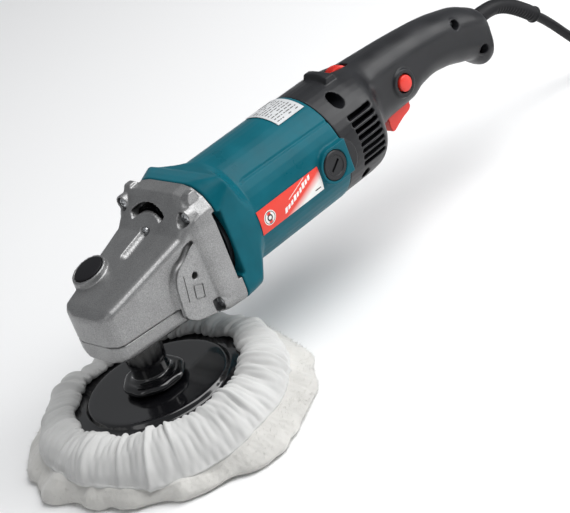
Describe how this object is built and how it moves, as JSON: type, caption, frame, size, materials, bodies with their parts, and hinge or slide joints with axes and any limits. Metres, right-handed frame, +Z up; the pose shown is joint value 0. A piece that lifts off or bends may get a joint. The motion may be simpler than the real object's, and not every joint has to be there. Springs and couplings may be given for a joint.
{
  "type": "rotary polisher",
  "caption": "Corded rotary polisher: cast gear head with wool bonnet on a round backing plate, inline motor, and a grip handle with trigger, lock-on button and speed dial.",
  "frame": {"origin": "centre of the bonnet's polishing face, on the spindle axis", "axes": "+Z up along the spindle, +X along the motor towards the handle, -Y the side with the lock-on button"},
  "size_m": [0.77, 0.2454, 0.1566],
  "materials": {
    "bare_steel": "bright zinc plated",
    "black_plastic": "moulded, satin",
    "black_rubber": "satin flexible PVC",
    "brass": "pressed brass",
    "carbon": "pressed carbon",
    "cast_alloy": "fine cast texture, satin",
    "copper": "enamelled copper wire",
    "foam": "open cell foam",
    "gear_steel": "machined and greased",
    "gloss_black": "glossy moulded",
    "label_red": "printed film",
    "label_silver": "printed foil",
    "lamination": "varnished laminations",
    "red_plastic": "smooth moulded, glossy",
    "teal_plastic": "smooth moulded, glossy",
    "wool": "wool pile and woven cover"
  },
  "bodies": {
    "housing": {"gear_case": "cast_alloy", "gear_case_cover": "cast_alloy", "cover_screw_1": "bare_steel", "cover_screw_2": "bare_steel", "cover_screw_3": "bare_steel", "cover_screw_4": "bare_steel", "flange_screw_1": "bare_steel", "flange_screw_2": "bare_steel", "flange_screw_3": "bare_steel", "flange_screw_4": "bare_steel", "bearing_retainer": "bare_steel", "retainer_screw": "bare_steel", "spindle_lower_bearing": "bare_steel", "spindle_upper_bearing": "bare_steel", "spindle_lock_spring": "bare_steel", "motor_housing": "teal_plastic", "fan_baffle": "black_plastic", "field_core": "lamination", "field_winding": "copper", "armature_front_bearing": "bare_steel", "armature_rear_bearing": "bare_steel", "brush_holder_left": "brass", "carbon_brush_left": "carbon", "brush_cap_left": "black_plastic", "brush_holder_right": "brass", "carbon_brush_right": "carbon", "brush_cap_right": "black_plastic", "side_label": "label_red", "rating_plate": "label_silver", "handle_left": "black_plastic", "handle_right": "black_plastic", "shell_screw_1": "bare_steel", "shell_screw_2": "bare_steel", "shell_screw_3": "bare_steel", "shell_screw_4": "bare_steel", "switch_body": "black_plastic", "speed_control": "black_plastic", "cord_guard": "black_rubber", "cord_clamp": "black_plastic", "power_cord": "black_rubber", "cord_coil": "black_rubber", "plug_lead": "black_rubber", "plug_body": "black_rubber", "plug_pin_1": "bare_steel", "plug_pin_2": "bare_steel"},
    "spindle": {"spindle": "gear_steel", "crown_gear": "gear_steel", "pad_hub": "gloss_black", "backing_plate": "gloss_black", "foam_pad": "foam", "bonnet": "wool"},
    "armature": {"armature_shaft": "gear_steel", "armature_core": "lamination", "armature_winding": "copper", "commutator": "copper", "cooling_fan": "black_plastic"},
    "trigger": {"trigger": "red_plastic"},
    "lock_on": {"lock_on_button": "red_plastic"},
    "dial": {"speed_dial": "red_plastic"},
    "lock_button": {"spindle_lock_button": "black_plastic"}
  },
  "joints": [
    {"name": "spindle_spin", "type": "hinge", "parent": "housing", "child": "spindle", "pos_m": [0, 0, 0.09], "axis": [0, 0, 1], "continuous": true},
    {"name": "armature_spin", "type": "hinge", "parent": "housing", "child": "armature", "pos_m": [0.12, 0, 0.109], "axis": [1, 0, 0], "continuous": true},
    {"name": "trigger_pull", "type": "hinge", "parent": "housing", "child": "trigger", "pos_m": [0.2785, 0, 0.091], "axis": [0, -1, 0], "range_deg": [0, 8], "stiffness_Nm_per_rad": 0.5, "springref_deg": -5.73},
    {"name": "lock_on_press", "type": "slide", "parent": "housing", "child": "lock_on", "axis": [0, 1, 0], "range_m": [0, 0.003], "stiffness_N_per_m": 400, "springref_m": -0.002},
    {"name": "speed_dial_turn", "type": "hinge", "parent": "housing", "child": "dial", "pos_m": [0.2465, 0, 0.1384], "axis": [0, 1, 0], "range_deg": [-135, 135]},
    {"name": "spindle_lock_press", "type": "slide", "parent": "housing", "child": "lock_button", "axis": [0, 0, -1], "range_m": [0, 0.0045], "stiffness_N_per_m": 600, "springref_m": -0.003, "deforming": ["spindle_lock_spring"]}
  ],
  "couplings": [
    {"joint": "armature_spin", "follows": "spindle_spin", "ratio": 4.625}
  ]
}
